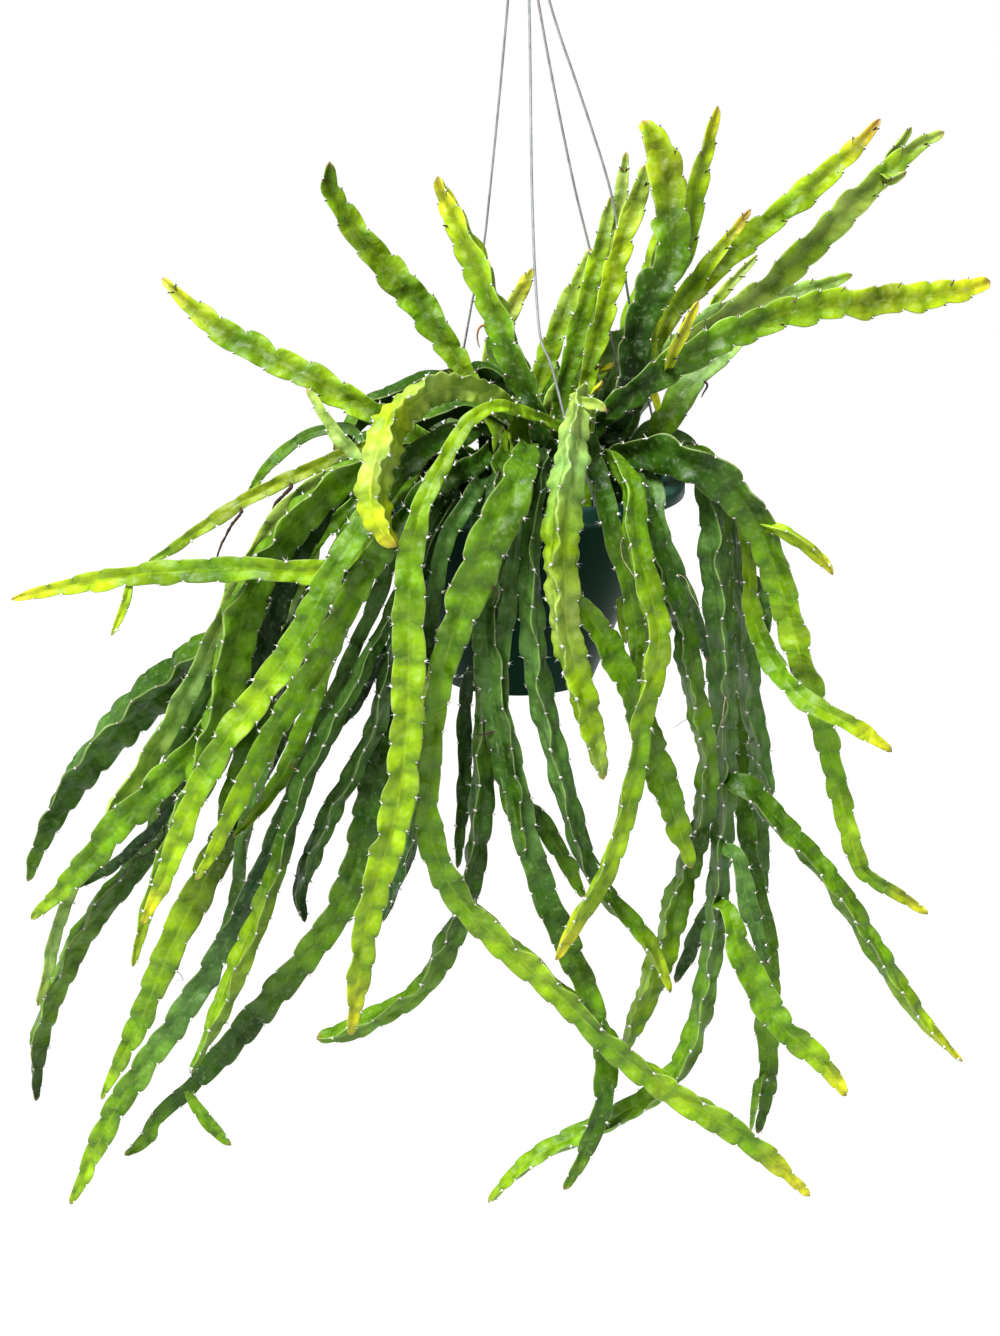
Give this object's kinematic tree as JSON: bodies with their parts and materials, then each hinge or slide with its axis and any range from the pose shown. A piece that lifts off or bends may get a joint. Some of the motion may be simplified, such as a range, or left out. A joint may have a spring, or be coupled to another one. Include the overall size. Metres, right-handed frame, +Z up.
{
  "type": "potted hanging cactus",
  "caption": "Hurricane cactus with long three-winged trailing stems in a tapered plastic hanging basket on stiff wires and a hook.",
  "frame": {"origin": "the point on the inside of the hook's top that rests on whatever holds it", "axes": "+Z up along the hook's shank, the picture's viewer looks along +Y, +X to the viewer's right"},
  "size_m": [0.5918, 0.3168, 0.8288],
  "materials": {
    "pot_plastic": "moulded, slightly dusty",
    "soil": "loose potting mix",
    "hanger_steel": "galvanised wire",
    "cactus_stem": "waxy plant skin with pale edges"
  },
  "bodies": {
    "root": {"pot": "pot_plastic", "soil": "soil", "hanger_hook": "hanger_steel", "wire_back_left": "hanger_steel", "wire_front_right": "hanger_steel", "wire_back_right": "hanger_steel", "wire_right": "hanger_steel", "stem_top_1": "cactus_stem", "stem_top_2": "cactus_stem", "stem_top_3": "cactus_stem", "stem_top_4": "cactus_stem", "stem_top_5": "cactus_stem", "stem_top_6": "cactus_stem", "stem_top_7": "cactus_stem", "stem_top_8": "cactus_stem", "stem_top_9": "cactus_stem", "stem_top_10": "cactus_stem", "stem_top_11": "cactus_stem", "stem_top_12": "cactus_stem", "stem_top_13": "cactus_stem", "stem_top_14": "cactus_stem", "stem_top_15": "cactus_stem", "stem_top_16": "cactus_stem", "stem_front_1": "cactus_stem", "stem_front_2": "cactus_stem", "stem_front_3": "cactus_stem", "stem_front_4": "cactus_stem", "stem_front_5": "cactus_stem", "stem_front_6": "cactus_stem", "stem_front_7": "cactus_stem", "stem_front_8": "cactus_stem", "stem_front_9": "cactus_stem", "stem_front_10": "cactus_stem", "stem_front_11": "cactus_stem", "stem_front_12": "cactus_stem", "stem_front_13": "cactus_stem", "stem_front_14": "cactus_stem", "stem_front_15": "cactus_stem", "stem_front_16": "cactus_stem", "stem_front_17": "cactus_stem", "stem_left_1": "cactus_stem", "stem_left_2": "cactus_stem", "stem_left_3": "cactus_stem", "stem_left_4": "cactus_stem", "stem_left_5": "cactus_stem", "stem_left_6": "cactus_stem", "stem_left_7": "cactus_stem", "stem_left_8": "cactus_stem", "stem_left_9": "cactus_stem", "stem_left_10": "cactus_stem", "stem_left_11": "cactus_stem", "stem_left_12": "cactus_stem", "stem_left_13": "cactus_stem", "stem_left_14": "cactus_stem", "stem_back_1": "cactus_stem", "stem_back_2": "cactus_stem", "stem_back_3": "cactus_stem", "stem_back_4": "cactus_stem", "stem_back_5": "cactus_stem", "stem_back_6": "cactus_stem"}
  },
  "joints": []
}
